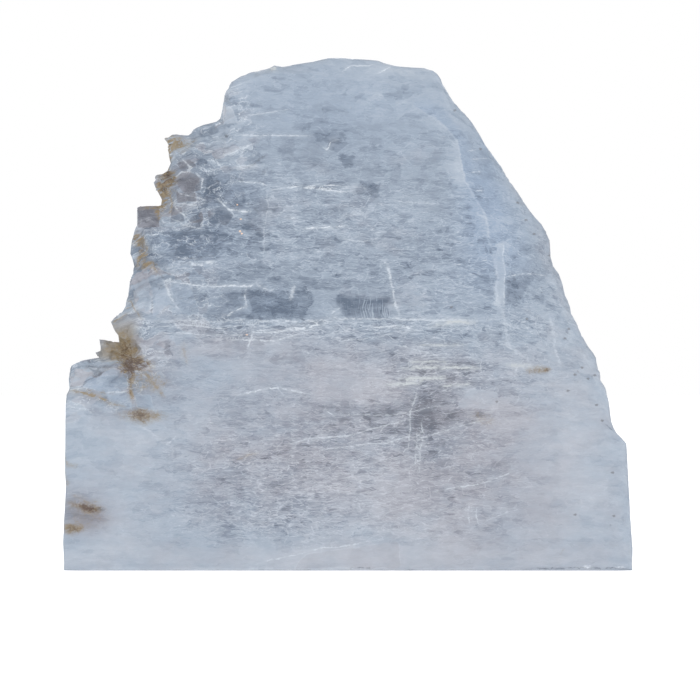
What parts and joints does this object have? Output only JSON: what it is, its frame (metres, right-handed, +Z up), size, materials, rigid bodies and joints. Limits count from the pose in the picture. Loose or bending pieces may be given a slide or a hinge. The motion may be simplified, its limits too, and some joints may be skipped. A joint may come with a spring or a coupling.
{
  "type": "selenite slab",
  "caption": "Upright slab of clear to milky selenite crystal with polished broad faces, a ragged stained left end and a flat sawn base that it stands on.",
  "frame": {"origin": "middle of the bounding box's underside, on the surface that the slab stands on", "axes": "+Z up, +X along the slab's width to the viewer's right, and the polished front face looks along -Y"},
  "size_m": [0.2854, 0.0368, 0.2571],
  "materials": {
    "selenite": "satin polish, translucent milky blue-grey with silky fibres"
  },
  "bodies": {
    "root": {"selenite_slab": "selenite"}
  },
  "joints": []
}
